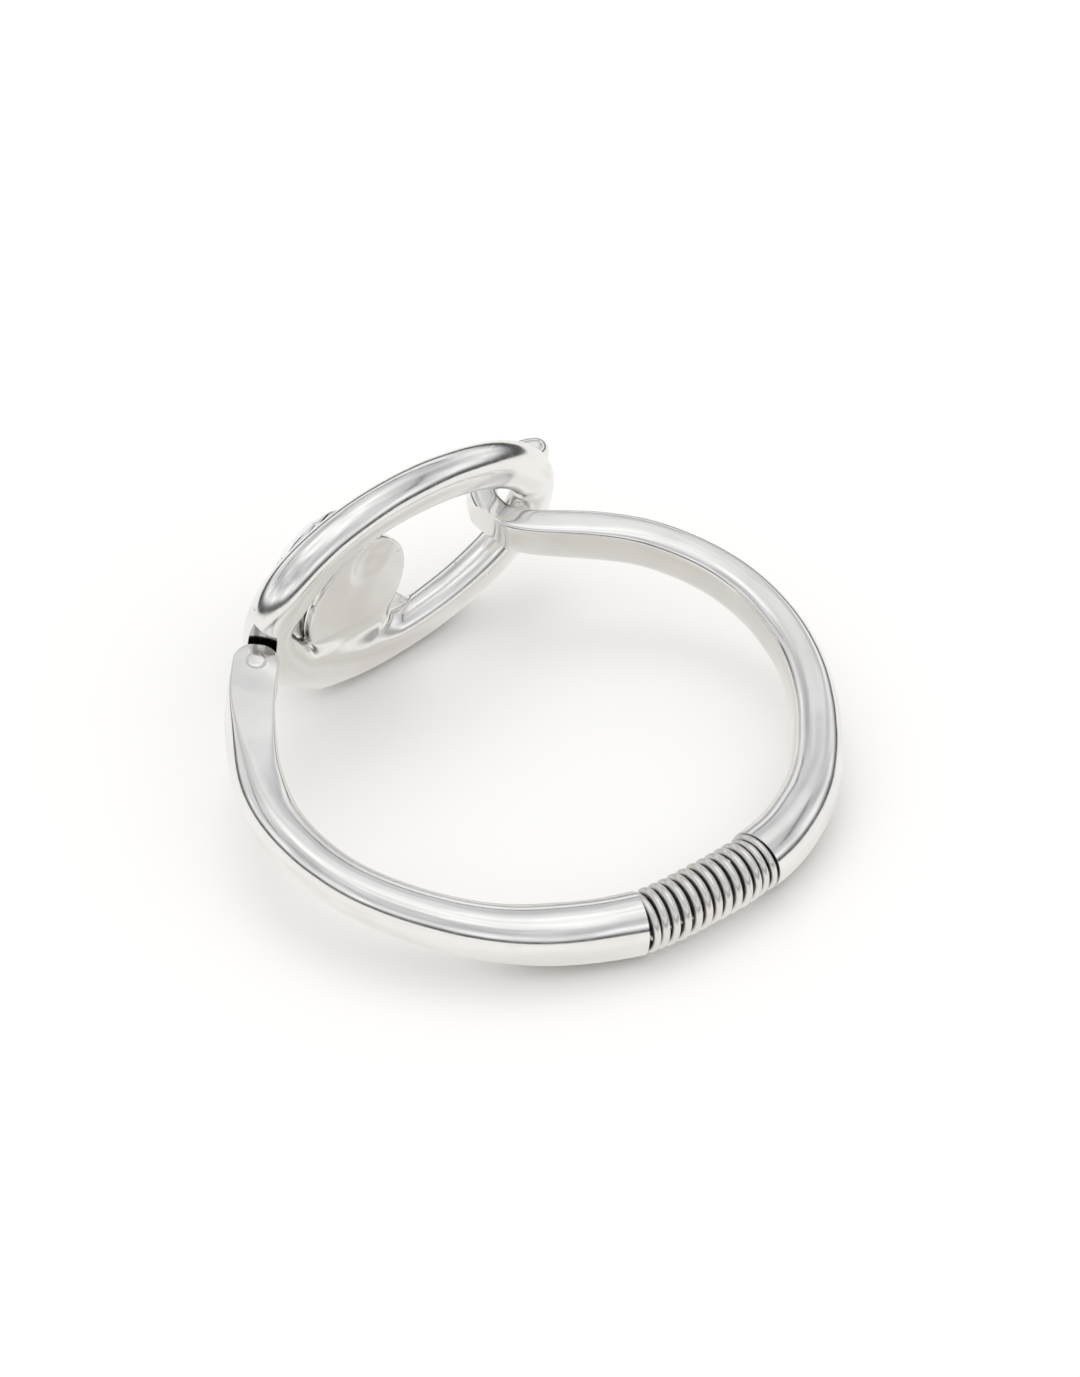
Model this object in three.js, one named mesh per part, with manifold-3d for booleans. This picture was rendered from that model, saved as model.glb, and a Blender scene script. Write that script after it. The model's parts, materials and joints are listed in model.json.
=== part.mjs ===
// Sprung bangle: two cast arms joined at the back by a coil over a flexible core,
// closed at the front by an oval link that swings on a pin and drops over a hook.
// Millimetres. The band lies in its own plane and is then tilted so that the
// bangle rests on the link's lower rail and on the rear of the band.
import * as THREE from 'three';
import { mergeVertices } from 'three/addons/utils/BufferGeometryUtils.js';
import Module from 'manifold-3d';

const wasm = await Module();
wasm.setup();

// ---------------------------------------------------------------- dimensions
const REST_TILT = 9.195 * Math.PI / 180; // front raised, degrees to radians

const PIN_XY = [19.84, -22.94];   // hinge pin axis in the band plane
const PIN_R = 1.15;
const PIN_BORE_R = 1.21;
const TONGUE_BORE_R = 1.24;
const PIN_HALF = 2.92;
const FORK_END_R = 2.65;          // rounded end of the fork
const FORK_HALF_H = 2.8;
const SLOT_HALF = 1.08;           // half the fork's slot
const TONGUE_HALF = 0.94;         // half the tongue's thickness
const TONGUE_R = 2.35;
const POCKET_R = 2.98;            // hollow in the link round the fork's end

const BAR_XY = [-24.2, -28.9];    // far bar of the link, where the hook sits
const LINK_U0 = 4.3, LINK_U1 = 44.5;  // centre line of the ring along the link
const LINK_B = 11.1, LINK_RISE = 1.05, LINK_ROLL = -0.064, LINK_EGG = -0.11;
const LINK_H = [1.06, -1.105, 0.24];  // how far the ring stands outward of the pin
const RAIL_IN = 2.35, RAIL_THICK = 2.2, RAIL_END = 0.45;
const RAIL_FULL = [0.42, 0.24], RAIL_DEEP = 0.18; // long rails: extra toward the opening (upper, lower) and toward the wrist

const SET_U = 17.2, SET_Z = 0.0;  // centre of the round back plate and setting on the link
const PLATE_R = 7.4, PLATE_H0 = 0.9, PLATE_H1 = 2.2;
const CUP_R = 7.75, CUP_H0 = 2.5, CUP_H1 = 6.6;
const STONE_R = 8.0, STONE_H0 = 3.7, STONE_GIRDLE = 6.9, STONE_TOP = 9.3;

const COIL_L = [7.95, 27.42], COIL_M = [0.2, 28.0], COIL_R = [-7.65, 27.78];
const COIL_OUT_R = 3.42, COIL_WIRE_R = 0.5, COIL_TURNS = 12.25;
const CORE_R = 1.45;
const SOCKET_R = 2.4, SOCKET_DEPTH = 6.2;
const FERRULE_OUT = 2.25, FERRULE_IN = 1.6, FERRULE_LEN = 5.2;

const SILVER = { color: 0xd9d8d5, roughness: 0.12, metalness: 1.0 };

// ------------------------------------------------------------------- helpers
const V = (x, y, z = 0) => new THREE.Vector3(x, y, z);

function solidOf(geometry) {
  const g = geometry.clone();
  for (const name of Object.keys(g.attributes)) if (name !== 'position') g.deleteAttribute(name);
  const m = mergeVertices(g, 1e-5);
  return new wasm.Manifold(new wasm.Mesh({
    numProp: 3,
    vertProperties: new Float32Array(m.attributes.position.array),
    triVerts: new Uint32Array(m.index.array),
  }));
}

function geometryOf(solid) {
  const mesh = solid.getMesh();
  const g = new THREE.BufferGeometry();
  g.setAttribute('position', new THREE.BufferAttribute(new Float32Array(mesh.vertProperties), 3));
  g.setIndex(new THREE.BufferAttribute(new Uint32Array(mesh.triVerts), 1));
  g.computeVertexNormals();
  return g;
}

function ringsToGeometry(rings, closed) {
  const n = rings[0].length, m = rings.length, pos = [], idx = [];
  for (const ring of rings) for (const p of ring) pos.push(p.x, p.y, p.z);
  const last = closed ? m : m - 1;
  for (let i = 0; i < last; i++) {
    const a = i * n, b = ((i + 1) % m) * n;
    for (let j = 0; j < n; j++) {
      const k = (j + 1) % n;
      idx.push(a + j, b + j, b + k, a + j, b + k, a + k);
    }
  }
  if (!closed) {
    for (const [base, flip] of [[0, true], [(m - 1) * n, false]]) {
      const c = new THREE.Vector3();
      for (let j = 0; j < n; j++) c.add(rings[base / n][j]);
      c.divideScalar(n);
      pos.push(c.x, c.y, c.z);
      const ci = pos.length / 3 - 1;
      for (let j = 0; j < n; j++) {
        const k = (j + 1) % n;
        if (flip) idx.push(ci, base + j, base + k); else idx.push(ci, base + k, base + j);
      }
    }
  }
  const g = new THREE.BufferGeometry();
  g.setAttribute('position', new THREE.BufferAttribute(new Float32Array(pos), 3));
  g.setIndex(idx);
  // turn the faces outward if the signed volume came out negative
  const P = g.attributes.position, I = g.index.array;
  let vol = 0;
  const a = V(0, 0), b = V(0, 0), c = V(0, 0);
  for (let i = 0; i < I.length; i += 3) {
    a.fromBufferAttribute(P, I[i]); b.fromBufferAttribute(P, I[i + 1]); c.fromBufferAttribute(P, I[i + 2]);
    vol += a.dot(b.clone().cross(c));
  }
  if (vol < 0) for (let i = 0; i < I.length; i += 3) { const t = I[i + 1]; I[i + 1] = I[i + 2]; I[i + 2] = t; }
  g.computeVertexNormals();
  return g;
}

const lerpTable = (table, t) => {
  let i = 0;
  while (i < table.length - 2 && t > table[i + 1][0]) i++;
  const [t0, ...a] = table[i], [t1, ...b] = table[i + 1];
  let f = Math.min(1, Math.max(0, (t - t0) / (t1 - t0)));
  f = f * f * (3 - 2 * f);
  return a.map((v, k) => v + (b[k] - v) * f);
};

// Section point: x is radial (positive outward), y is height. The inner half is
// flatter than the outer half, as on a cast band.
function bandSection(angle, halfW, halfH, inExp, outExp) {
  const c = Math.cos(angle), s = Math.sin(angle), e = c < 0 ? inExp : outExp;
  const eh = 0.5 * (inExp + outExp);
  return [
    Math.sign(c) * Math.pow(Math.abs(c), 2 / e) * halfW,
    Math.sign(s) * Math.pow(Math.abs(s), 2 / eh) * halfH,
  ];
}

// Sweep of a varying section along a curve that lies near the band plane.
function bandSweep(points, table, steps, sides, { domeEnd = 0 } = {}) {
  const curve = new THREE.CatmullRomCurve3(points.map((p) => V(p[0], p[1], p[2] ?? 0)), false, 'centripetal');
  curve.arcLengthDivisions = 800;
  const rings = [], up = V(0, 0, 1), stations = [];
  for (let i = 0; i <= steps; i++) stations.push([i / steps, 1]);
  if (domeEnd > 0) {
    const len = curve.getLength(), cut = domeEnd / len;
    const keep = stations.filter(([t]) => t < 1 - cut - 0.4 / steps);
    stations.length = 0;
    stations.push(...keep);
    for (const q of [0, 25, 45, 62, 76]) {
      const r = q * Math.PI / 180;
      stations.push([1 - cut + cut * Math.sin(r), Math.cos(r)]);
    }
  }
  for (const [t, k] of stations) {
    const p = curve.getPointAt(Math.min(1, t));
    const tan = curve.getTangentAt(Math.min(1, t)).normalize();
    const side = tan.clone().cross(up).normalize();
    const lift = side.clone().cross(tan).normalize();
    const [hw, hh, ie, oe] = lerpTable(table, t);
    const ring = [];
    for (let j = 0; j < sides; j++) {
      const [x, y] = bandSection((j / sides) * Math.PI * 2, hw * k, hh * k, ie, oe);
      ring.push(p.clone().addScaledVector(side, x).addScaledVector(lift, y));
    }
    rings.push(ring);
  }
  return ringsToGeometry(rings, false);
}

const placed = (geometry, x, y, z, rx = 0, ry = 0, rz = 0) => {
  const g = geometry.clone();
  g.applyMatrix4(new THREE.Matrix4().compose(V(x, y, z),
    new THREE.Quaternion().setFromEuler(new THREE.Euler(rx, ry, rz)), V(1, 1, 1)));
  return g;
};

// A cylinder whose axis is +Z.
const post = (r, h, seg, x, y, z = 0) => placed(new THREE.CylinderGeometry(r, r, h, seg), x, y, z, Math.PI / 2);

const part = (name, geometry, look) => {
  const mesh = new THREE.Mesh(geometry, new THREE.MeshStandardMaterial(look));
  mesh.name = name;
  return mesh;
};

// --------------------------------------------------------------- hinge arm
const hingePts = [[19.84, -22.94], [22.75, -19.95], [25.35, -16.5], [28.7, -11.0], [30.5, -6.0], [31.05, -1.4],
  [30.8, 2.6], [29.8, 6.9], [28.0, 10.98], [25.65, 14.85], [22.85, 18.35], [19.55, 21.4], [15.75, 23.95],
  [11.95, 25.9], [8.2, 27.33]];
const hingeTable = [ // along, half width, half height, inner and outer roundness
  [0, 2.65, 2.8, 3.0, 3.0], [0.06, 2.66, 2.8, 3.2, 2.7], [0.2, 2.7, 2.75, 3.4, 2.5], [0.45, 2.75, 2.8, 3.2, 2.4],
  [0.7, 2.95, 3.0, 3.0, 2.4], [0.9, 3.3, 3.4, 2.5, 2.3], [1, 3.4, 3.5, 2.2, 2.2]];
const dirTo = (a, b) => { const d = V(b[0] - a[0], b[1] - a[1]); return d.normalize(); };
// cylinder along a direction in the band plane, from p for a length
function socketCutter(p, d, length, r, back = 0.6) {
  const mid = V(p[0], p[1]).addScaledVector(d, (length - back) / 2);
  return placed(new THREE.CylinderGeometry(r, r, length + back, 24), mid.x, mid.y, 0, 0, 0, Math.atan2(d.y, d.x) - Math.PI / 2);
}
const hingeBackDir = dirTo([8.2, 27.33], [11.95, 25.9]);
const forkDir = dirTo([19.84, -22.94], [22.75, -19.95]);
const slotLen = 9.0;
const slot = placed(new THREE.BoxGeometry(slotLen, 12, 2 * SLOT_HALF),
  PIN_XY[0] + forkDir.x * (3.35 - slotLen / 2), PIN_XY[1] + forkDir.y * (3.35 - slotLen / 2), 0, 0, 0, Math.atan2(forkDir.y, forkDir.x));
const hingeArm = solidOf(bandSweep(hingePts, hingeTable, 46, 16))
  .add(solidOf(post(FORK_END_R, 2 * FORK_HALF_H, 32, ...PIN_XY)))
  .subtract(solidOf(slot))
  .subtract(solidOf(post(PIN_BORE_R, 10, 24, ...PIN_XY)))
  .subtract(solidOf(socketCutter([8.2, 27.33], hingeBackDir, SOCKET_DEPTH, SOCKET_R)));

// ---------------------------------------------------------------- hook arm
const hookPts = [[-7.9, 27.72], [-11.2, 27.15], [-14.6, 26.0], [-20.1, 22.9], [-24.8, 18.4], [-28.6, 13.4], [-31.2, 8.4],
  [-32.9, 2.0], [-33.1, -3.5], [-32.25, -8.1], [-30.75, -11.9], [-28.9, -15.05], [-26.9, -17.3], [-24.1, -19.75],
  [-21.0, -22.1], [-18.6, -24.2, 0], [-17.25, -26.4, 0], [-17.3, -29.0, 0], [-18.9, -31.6, 0], [-21.7, -33.1, 0.1],
  [-24.7, -33.35, 0.15], [-27.2, -33.0, 0.15], [-28.9, -32.0, 0.1]];
const hookTable = [
  [0, 3.4, 3.5, 2.2, 2.2], [0.08, 3.25, 3.35, 2.5, 2.3], [0.25, 2.7, 2.9, 3.2, 2.4], [0.45, 2.35, 2.65, 3.6, 2.5],
  [0.62, 2.2, 2.5, 3.8, 2.6], [0.74, 2.1, 2.35, 3.4, 2.5], [0.82, 1.95, 2.1, 2.8, 2.4], [0.88, 1.75, 1.9, 2.4, 2.3],
  [1, 1.5, 1.65, 2.1, 2.1]];
const hookBackDir = dirTo([-7.9, 27.72], [-11.2, 27.15]);
const hookArm = solidOf(bandSweep(hookPts, hookTable, 66, 16, { domeEnd: 1.5 }))
  .subtract(solidOf(socketCutter([-7.9, 27.72], hookBackDir, SOCKET_DEPTH, SOCKET_R)));

// ------------------------------------------------------------ link (u, h, z)
const chord = V(BAR_XY[0] - PIN_XY[0], BAR_XY[1] - PIN_XY[1]);
const chordLen = chord.length();
const chordAngle = Math.atan2(chord.y, chord.x);
const LINK_UC = (LINK_U0 + LINK_U1) / 2, LINK_A = (LINK_U1 - LINK_U0) / 2;

function linkRing(grow, steps, sides) {
  const centre = (t) => {
    const x = Math.cos(t), u = LINK_UC + LINK_A * x;
    const z = LINK_RISE + LINK_B * Math.sin(t) * (1 + LINK_EGG * x) + LINK_ROLL * LINK_A * x;
    return V(u, LINK_H[0] + LINK_H[1] * x + LINK_H[2] * x * x, z);
  };
  const rings = [];
  for (let i = 0; i < steps; i++) {
    const t = (i / steps) * Math.PI * 2, e = 1e-3;
    const p = centre(t), tan = centre(t + e).sub(centre(t - e)).normalize();
    const flat = V(0, 1, 0);
    const inPlane = tan.clone().cross(flat).normalize();
    const thick = inPlane.clone().cross(tan).normalize();
    const hingeSide = Math.max(0, -Math.cos(t));
    const onRail = Math.min(1, Math.abs(Math.sin(t)) / 0.4), ease = onRail * onRail * (3 - 2 * onRail);
    const full = ease * RAIL_FULL[Math.sin(t) > 0 ? 0 : 1], deep = ease * RAIL_DEEP;
    p.addScaledVector(inPlane, full).addScaledVector(thick, -deep);
    const hw = RAIL_IN + RAIL_END * Math.pow(hingeSide, 4) + full + grow, hh = RAIL_THICK + RAIL_END * Math.pow(hingeSide, 4) + deep + grow;
    const ring = [];
    for (let j = 0; j < sides; j++) {
      const a = (j / sides) * Math.PI * 2, c = Math.cos(a), s = Math.sin(a), q = 2 / 2.25;
      ring.push(p.clone().addScaledVector(inPlane, Math.sign(c) * Math.pow(Math.abs(c), q) * hw)
        .addScaledVector(thick, Math.sign(s) * Math.pow(Math.abs(s), q) * hh));
    }
    rings.push(ring);
  }
  return ringsToGeometry(rings, true);
}
const tongue = solidOf(post(TONGUE_R, 2 * TONGUE_HALF, 28, 0, 0))
  .add(solidOf(placed(new THREE.BoxGeometry(5.2, 3.6, 2 * TONGUE_HALF), 2.2, 1.15, 0, 0, 0, 0.5)));
const pocket = solidOf(post(POCKET_R, 3.4, 40, 0, 0, TONGUE_HALF + 1.7)).add(solidOf(post(POCKET_R, 3.4, 40, 0, 0, -TONGUE_HALF - 1.7)));
// the back plate is cast with the ring and runs into its lower rail
const plateProfile = [[0, PLATE_H0 + 0.25], [3.8, PLATE_H0 + 0.25], [6.3, PLATE_H0], [7.15, PLATE_H0 + 0.15],
  [PLATE_R, PLATE_H0 + 0.6], [PLATE_R, PLATE_H1], [0, PLATE_H1]].map(([r, y]) => new THREE.Vector2(r, y));
const plate = solidOf(placed(new THREE.LatheGeometry(plateProfile, 40), SET_U, 0, SET_Z));
const web = solidOf(placed(new THREE.BoxGeometry(12.0, PLATE_H1 - PLATE_H0 - 0.5, 3.2), SET_U + 1.5, (PLATE_H0 + PLATE_H1) / 2 + 0.25, SET_Z - 7.2));
const linkFrame = solidOf(linkRing(0, 60, 14)).add(plate).add(web).add(tongue).subtract(pocket)
  .subtract(solidOf(post(TONGUE_BORE_R, 10, 24, 0, 0)));

// round setting: a cup soldered to the plate, open to the front
const cupProfile = [[0, CUP_H0], [6.7, CUP_H0], [7.2, CUP_H0 + 0.3], [CUP_R, CUP_H1 - 0.4], [CUP_R - 0.1, CUP_H1],
  [7.2, CUP_H1], [6.2, 4.4], [3.0, 3.4], [0, 3.4]].map(([r, y]) => new THREE.Vector2(r, y));
const setting = solidOf(placed(new THREE.LatheGeometry(cupProfile, 40), SET_U, 0, SET_Z)).subtract(solidOf(linkRing(0.3, 60, 14)));

// cut stone: pavilion, girdle, crown and table
const stoneProfile = [[0, STONE_H0], [1.0, STONE_H0], [6.7, STONE_GIRDLE - 0.15], [STONE_R, STONE_GIRDLE], [STONE_R, STONE_GIRDLE + 0.5],
  [5.2, STONE_TOP], [0, STONE_TOP]].map(([r, y]) => new THREE.Vector2(r, y));
const stone = placed(new THREE.LatheGeometry(stoneProfile, 16), SET_U, 0, SET_Z);

// --------------------------------------------------------- coil, core, ferrules
const axisCurve = new THREE.CatmullRomCurve3([V(...COIL_L), V((COIL_L[0] + COIL_M[0]) / 2, (COIL_L[1] + COIL_M[1]) / 2 + 0.16),
  V(...COIL_M), V((COIL_R[0] + COIL_M[0]) / 2, (COIL_R[1] + COIL_M[1]) / 2 + 0.16), V(...COIL_R)], false, 'centripetal');
class CoilPath extends THREE.Curve {
  getPoint(t, target = new THREE.Vector3()) {
    const axialMargin = (COIL_WIRE_R + 0.02) / axisCurve.getLength();
    const s = axialMargin + t * (1 - 2 * axialMargin);
    const p = axisCurve.getPointAt(s), tan = axisCurve.getTangentAt(s);
    const side = tan.clone().cross(V(0, 0, 1)).normalize();
    const a = t * COIL_TURNS * Math.PI * 2 - Math.PI / 2, r = COIL_OUT_R - COIL_WIRE_R;
    return target.copy(p).addScaledVector(side, Math.cos(a) * r).addScaledVector(V(0, 0, 1), Math.sin(a) * r);
  }
}
function wireSweep(curve, steps, sides, r, axisOf) {
  const rings = [];
  for (let i = 0; i <= steps; i++) {
    const t = i / steps, p = curve.getPoint(t);
    const tan = curve.getPoint(Math.min(1, t + 1e-4)).sub(curve.getPoint(Math.max(0, t - 1e-4))).normalize();
    const out = axisOf(t, tan), bi = out.clone().cross(tan).normalize(), ring = [];
    for (let j = 0; j < sides; j++) {
      const a = (j / sides) * Math.PI * 2 + Math.PI / sides;
      ring.push(p.clone().addScaledVector(out, Math.cos(a) * r).addScaledVector(bi, Math.sin(a) * r));
    }
    rings.push(ring);
  }
  return ringsToGeometry(rings, false);
}
const coil = wireSweep(new CoilPath(), Math.round(COIL_TURNS * 14), 6, COIL_WIRE_R, (t, tan) => {
  const s = t, p = axisCurve.getPointAt(Math.min(1, Math.max(0, s)));
  const q = new CoilPath().getPoint(t);
  const out = q.sub(p);
  return out.addScaledVector(tan, -out.dot(tan)).normalize();
});

const along = (p, d, s) => [p[0] + d.x * s, p[1] + d.y * s];
const coreInset = SOCKET_DEPTH - 0.6;
const corePts = [along([8.2, 27.33], hingeBackDir, coreInset), [8.2, 27.33], COIL_M, [-7.9, 27.72], along([-7.9, 27.72], hookBackDir, coreInset)]
  .map((p) => V(p[0], p[1]));
const coreCurve = new THREE.CatmullRomCurve3(corePts, false, 'centripetal');
const coreShape = new THREE.Shape();
for (let j = 0; j < 12; j++) {
  const a = (j / 12) * Math.PI * 2;
  if (j === 0) coreShape.moveTo(CORE_R, 0); else coreShape.lineTo(Math.cos(a) * CORE_R, Math.sin(a) * CORE_R);
}
const core = new THREE.ExtrudeGeometry(coreShape, { steps: 14, bevelEnabled: false, extrudePath: coreCurve, curveSegments: 1 });

const ferruleProfile = [[FERRULE_IN, 0], [FERRULE_OUT, 0], [FERRULE_OUT, FERRULE_LEN], [FERRULE_IN, FERRULE_LEN], [FERRULE_IN, 0]]
  .map(([r, y]) => new THREE.Vector2(r, y));
const ferrule = (p, d) => placed(new THREE.LatheGeometry(ferruleProfile, 20), ...along(p, d, 0.35), 0, 0, 0, Math.atan2(d.y, d.x) - Math.PI / 2);

// ---------------------------------------------------------------- hinge pin
const pinProfile = [[0, -PIN_HALF - 0.16], [0.7, -PIN_HALF - 0.1], [PIN_R, -PIN_HALF + 0.1], [PIN_R, PIN_HALF - 0.1],
  [0.7, PIN_HALF + 0.1], [0, PIN_HALF + 0.16]].map(([r, y]) => new THREE.Vector2(r, y));
const pin = placed(new THREE.LatheGeometry(pinProfile, 24), PIN_XY[0], PIN_XY[1], 0, Math.PI / 2);

// ------------------------------------------------------------------ assembly
const band = new THREE.Group();
band.rotation.x = -REST_TILT;
band.add(part('hinge_arm', geometryOf(hingeArm), SILVER));
band.add(part('hook_arm', geometryOf(hookArm), SILVER));
band.add(part('hinge_pin', pin, { color: 0xe2e1de, roughness: 0.18, metalness: 1.0 }));
band.add(part('coil_spring', coil, { color: 0xb5b2ad, roughness: 0.25, metalness: 1.0 }));
band.add(part('spring_core', core, { color: 0x6f6a64, roughness: 0.45, metalness: 1.0 }));
band.add(part('hinge_side_ferrule', ferrule([8.2, 27.33], hingeBackDir), { color: 0xb08d57, roughness: 0.35, metalness: 1.0 }));
band.add(part('hook_side_ferrule', ferrule([-7.9, 27.72], hookBackDir), { color: 0xb08d57, roughness: 0.35, metalness: 1.0 }));

const link = new THREE.Group();
link.position.set(PIN_XY[0], PIN_XY[1], 0);
link.rotation.z = chordAngle;
link.add(part('link_frame', geometryOf(linkFrame), SILVER));
link.add(part('medallion_setting', geometryOf(setting), SILVER));
link.add(part('front_crystal', stone, { color: 0xdfe8ee, roughness: 0.03, metalness: 0.0 }));
band.add(link);

const bangle = new THREE.Group();
bangle.add(band);
bangle.updateMatrixWorld(true);
const box = new THREE.Box3().setFromObject(bangle, true);
band.position.set(-(box.min.x + box.max.x) / 2, -(box.min.y + box.max.y) / 2, -box.min.z);
bangle.updateMatrixWorld(true);

export default bangle;
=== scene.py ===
import json, math
import bpy, bmesh
import numpy as np
from mathutils import Matrix, Vector


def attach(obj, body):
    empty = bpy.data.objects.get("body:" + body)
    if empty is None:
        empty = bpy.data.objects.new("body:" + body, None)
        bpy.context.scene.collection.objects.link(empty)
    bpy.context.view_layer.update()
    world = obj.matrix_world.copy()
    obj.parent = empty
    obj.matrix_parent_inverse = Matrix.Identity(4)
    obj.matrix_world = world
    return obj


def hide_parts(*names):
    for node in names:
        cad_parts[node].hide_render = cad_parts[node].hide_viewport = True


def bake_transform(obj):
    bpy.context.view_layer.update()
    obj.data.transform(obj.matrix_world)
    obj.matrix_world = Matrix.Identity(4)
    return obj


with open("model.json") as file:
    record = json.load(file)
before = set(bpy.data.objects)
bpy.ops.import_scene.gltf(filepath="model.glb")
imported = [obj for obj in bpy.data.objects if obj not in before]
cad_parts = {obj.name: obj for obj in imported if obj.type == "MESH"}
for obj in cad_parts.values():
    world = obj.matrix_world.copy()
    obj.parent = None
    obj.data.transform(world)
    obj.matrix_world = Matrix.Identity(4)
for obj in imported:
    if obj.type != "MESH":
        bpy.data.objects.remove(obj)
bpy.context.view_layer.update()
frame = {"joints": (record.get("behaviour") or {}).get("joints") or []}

MM = 0.001

# ------------------------------------------------------------ camera and frame
joints = {j["name"]: j for j in frame["joints"]}
axis = np.array(joints["link_hinge"]["axis"], float)
axis /= np.linalg.norm(axis)
tilt = math.atan2(axis[1], axis[2])                 # the band leans back by this much
PIN = np.array([19.84, -22.94, 0.0])
FLEX = np.array([0.2, 28.0, 0.0])
ROT = np.array([[1, 0, 0], [0, math.cos(tilt), math.sin(tilt)], [0, -math.sin(tilt), math.cos(tilt)]])
OFF = np.array(joints["link_hinge"]["pos_m"], float) / MM - ROT @ PIN


def row(p):
    """band frame, mm -> row frame, metres"""
    p = np.atleast_2d(np.asarray(p, float))
    return (p @ ROT.T + OFF) * MM


BAR = np.array([-24.2, -28.9, 0.0])                 # middle of the far bar of the link
chord = BAR - PIN
CH = float(np.linalg.norm(chord))
cu = chord / CH
cn = np.array([-cu[1], cu[0], 0.0])
if cn[1] > 0:
    cn = -cn


def link_to_band(p):
    """(along, outward, up) on the link -> band frame"""
    p = np.atleast_2d(np.asarray(p, float))
    return PIN + p[:, :1] * cu + p[:, 1:2] * cn + p[:, 2:3] * np.array([0, 0, 1.0])


# camera first
az, el, dist, lens = math.radians(140.0), math.radians(39.3), 650.0, 0.2444 * 650
back = np.array([math.sin(az) * math.cos(el), -math.cos(az) * math.cos(el), math.sin(el)])
right = np.cross(-back, [0, 0, 1.0]); right /= np.linalg.norm(right)
up = np.cross(right, -back)
aim = row([0, 0, 0])[0] / MM
px = lens / 36.0 * 1377 / dist                       # pixels per mm at the object
cam_pos = aim + back * dist + right * (8 / px) + up * (43.5 / px)
cam_data = bpy.data.cameras.new("camera")
cam_data.sensor_fit = "VERTICAL"
cam_data.sensor_height = 36.0
cam_data.lens = lens
cam_data.clip_start, cam_data.clip_end = 0.01, 20
cam = bpy.data.objects.new("camera", cam_data)
bpy.context.scene.collection.objects.link(cam)
cam.matrix_world = Matrix([[right[0], up[0], back[0], cam_pos[0] * MM],
                           [right[1], up[1], back[1], cam_pos[1] * MM],
                           [right[2], up[2], back[2], cam_pos[2] * MM],
                           [0, 0, 0, 1]])
bpy.context.scene.camera = cam


# ------------------------------------------------------------------- helpers
def catmull(points, n, closed=False):
    """dense, evenly spaced points on a smooth curve (natural cubic on chord length)"""
    P = np.array([list(p) + [0.0] * (3 - len(p)) for p in points], float)
    d = np.r_[0, np.cumsum(np.sqrt(np.linalg.norm(np.diff(P, axis=0), axis=1)) ** 2)]
    m = len(P)
    # natural cubic spline second derivatives
    out = []
    t = np.linspace(0, d[-1], n * 4)
    for k in range(3):
        y = P[:, k]
        h = np.diff(d)
        A = np.zeros((m, m)); b = np.zeros(m)
        A[0, 0] = A[-1, -1] = 1
        for i in range(1, m - 1):
            A[i, i - 1], A[i, i], A[i, i + 1] = h[i - 1], 2 * (h[i - 1] + h[i]), h[i]
            b[i] = 6 * ((y[i + 1] - y[i]) / h[i] - (y[i] - y[i - 1]) / h[i - 1])
        M = np.linalg.solve(A, b)
        i = np.clip(np.searchsorted(d, t, side="right") - 1, 0, m - 2)
        x0 = t - d[i]; x1 = d[i + 1] - t; hh = h[i]
        out.append((M[i] * x1 ** 3 + M[i + 1] * x0 ** 3) / (6 * hh) + (y[i] / hh - M[i] * hh / 6) * x1 + (y[i + 1] / hh - M[i + 1] * hh / 6) * x0)
    C = np.stack(out, 1)
    s = np.r_[0, np.cumsum(np.linalg.norm(np.diff(C, axis=0), axis=1))]
    q = np.linspace(0, s[-1], n)
    return np.stack([np.interp(q, s, C[:, k]) for k in range(3)], 1), s[-1]


def smooth_table(table, t):
    """monotone cubic interpolation of each column"""
    T = np.array(table, float)
    x, Y = T[:, 0], T[:, 1:]
    h = np.diff(x)
    res = []
    for k in range(Y.shape[1]):
        y = Y[:, k]
        dl = np.diff(y) / h
        m = np.zeros(len(x))
        m[0], m[-1] = dl[0], dl[-1]
        for i in range(1, len(x) - 1):
            m[i] = 0 if dl[i - 1] * dl[i] <= 0 else (2 * dl[i - 1] * dl[i]) / (dl[i - 1] + dl[i])
        i = np.clip(np.searchsorted(x, t, side="right") - 1, 0, len(x) - 2)
        s = (t - x[i]) / h[i]
        res.append((2 * s ** 3 - 3 * s ** 2 + 1) * y[i] + (s ** 3 - 2 * s ** 2 + s) * h[i] * m[i]
                   + (-2 * s ** 3 + 3 * s ** 2) * y[i + 1] + (s ** 3 - s ** 2) * h[i] * m[i + 1])
    return np.stack(res, 1)


def spow(v, e):
    return np.sign(v) * np.abs(v) ** e


def make_object(name, verts, faces, smooth=True, angle=38):
    me = bpy.data.meshes.new(name)
    me.from_pydata([tuple(v) for v in verts], [], faces)
    me.validate()
    bm = bmesh.new(); bm.from_mesh(me)
    bmesh.ops.recalc_face_normals(bm, faces=bm.faces)
    bm.to_mesh(me); bm.free()
    ob = bpy.data.objects.new(name, me)
    bpy.context.scene.collection.objects.link(ob)
    if smooth:
        me.shade_smooth()
        if angle:
            me.set_sharp_from_angle(angle=math.radians(angle))
    return ob


def tube(rings, closed=False, caps=True):
    """rings: array (m, n, 3) -> verts, faces"""
    R = np.asarray(rings); m, n = R.shape[:2]
    verts = R.reshape(-1, 3)
    faces = []
    for i in range(m if closed else m - 1):
        a, b = i * n, ((i + 1) % m) * n
        for j in range(n):
            k = (j + 1) % n
            faces.append((a + j, a + k, b + k, b + j))
    if not closed and caps:
        faces.append(tuple(range(n))[::-1])
        faces.append(tuple((m - 1) * n + j for j in range(n)))
    return verts, faces


def undulate(s, seeds):
    """slow, hand-worked waviness"""
    v = 0
    for k, (f, ph, a) in enumerate(seeds):
        v = v + a * np.sin(2 * math.pi * f * s + ph)
    return v


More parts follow.
